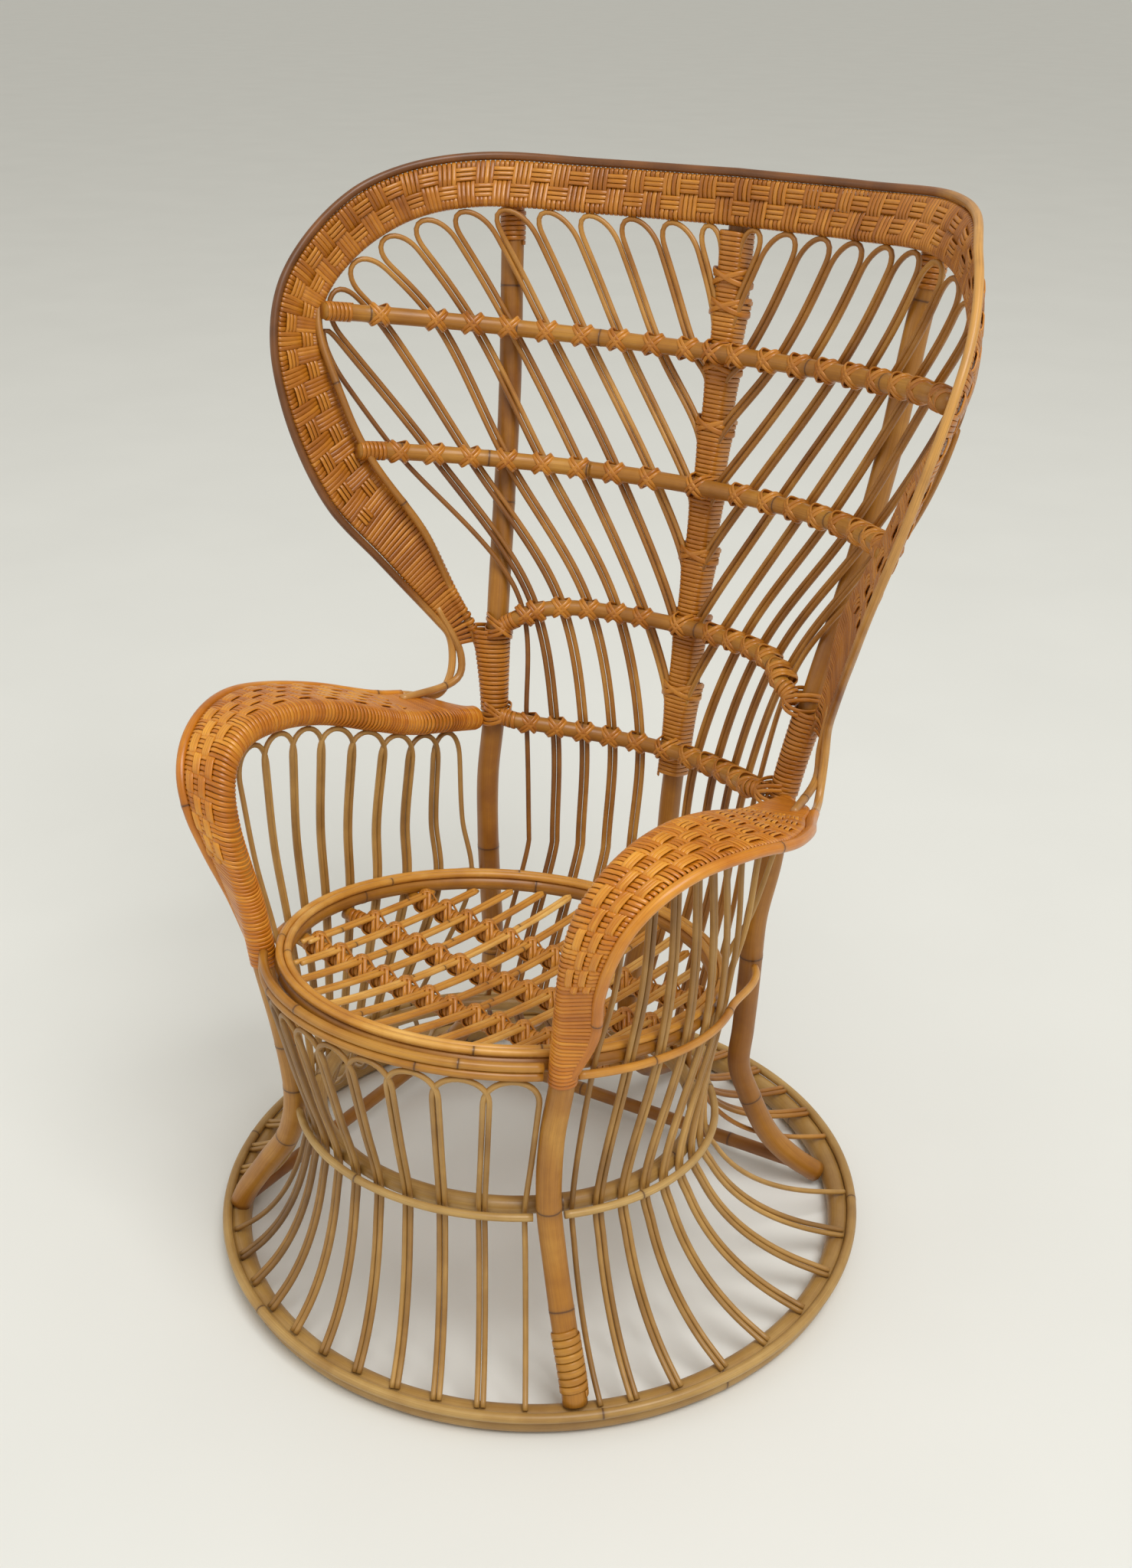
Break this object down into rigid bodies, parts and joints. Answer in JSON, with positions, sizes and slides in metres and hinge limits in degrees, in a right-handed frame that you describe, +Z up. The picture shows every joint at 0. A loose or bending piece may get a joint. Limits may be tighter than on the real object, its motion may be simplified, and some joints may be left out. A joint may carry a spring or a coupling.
{
  "type": "rattan peacock chair",
  "caption": "High-backed rattan armchair on a round flared base, with a winged fan back, a woven band over its top and arms, and a slatted oval seat.",
  "frame": {"origin": "bottom centre of the chair's box, on the floor", "axes": "+Z up, the chair faces -Y, +X is the sitter's left"},
  "size_m": [0.834, 0.8136, 1.1913],
  "materials": {
    "pole": "varnished rattan pole, satin",
    "cane": "varnished round cane, satin",
    "peel": "varnished flat cane peel, glossy"
  },
  "bodies": {
    "root": {"arm_edge_cane_left": "cane", "arm_edge_cane_right": "cane", "arm_panel_left": "peel", "arm_panel_right": "peel", "back_band_cane": "cane", "back_canes_left": "cane", "back_canes_right": "cane", "back_rail_1": "pole", "back_rail_2": "pole", "back_rail_3": "pole", "back_rail_4": "pole", "back_rim_cane": "cane", "back_woven_band": "peel", "base_bead_ring": "pole", "base_ring": "pole", "centre_pole": "pole", "elbow_binding_left": "peel", "elbow_binding_right": "peel", "foot_binding_left": "peel", "front_canes": "cane", "front_leg_and_arm_left": "pole", "front_leg_and_arm_right": "pole", "rear_leg_and_upright_left": "pole", "rear_leg_and_upright_right": "pole", "seat_cross_bar_1": "pole", "seat_cross_bar_2": "pole", "seat_cross_bar_3": "pole", "seat_front_rail": "pole", "seat_hoop_inner": "cane", "seat_hoop_outer": "cane", "seat_ring": "pole", "seat_side_hoop_left": "cane", "seat_side_hoop_right": "cane", "seat_slat_1": "cane", "seat_slat_10": "cane", "seat_slat_11": "cane", "seat_slat_12": "cane", "seat_slat_13": "cane", "seat_slat_2": "cane", "seat_slat_3": "cane", "seat_slat_4": "cane", "seat_slat_5": "cane", "seat_slat_6": "cane", "seat_slat_7": "cane", "seat_slat_8": "cane", "seat_slat_9": "cane", "side_canes_left": "cane", "side_canes_right": "cane", "stretcher_rear": "pole", "stretcher_right": "pole", "waist_hoop_front": "pole", "waist_hoop_rear": "pole", "waist_ring": "pole"}
  },
  "joints": []
}
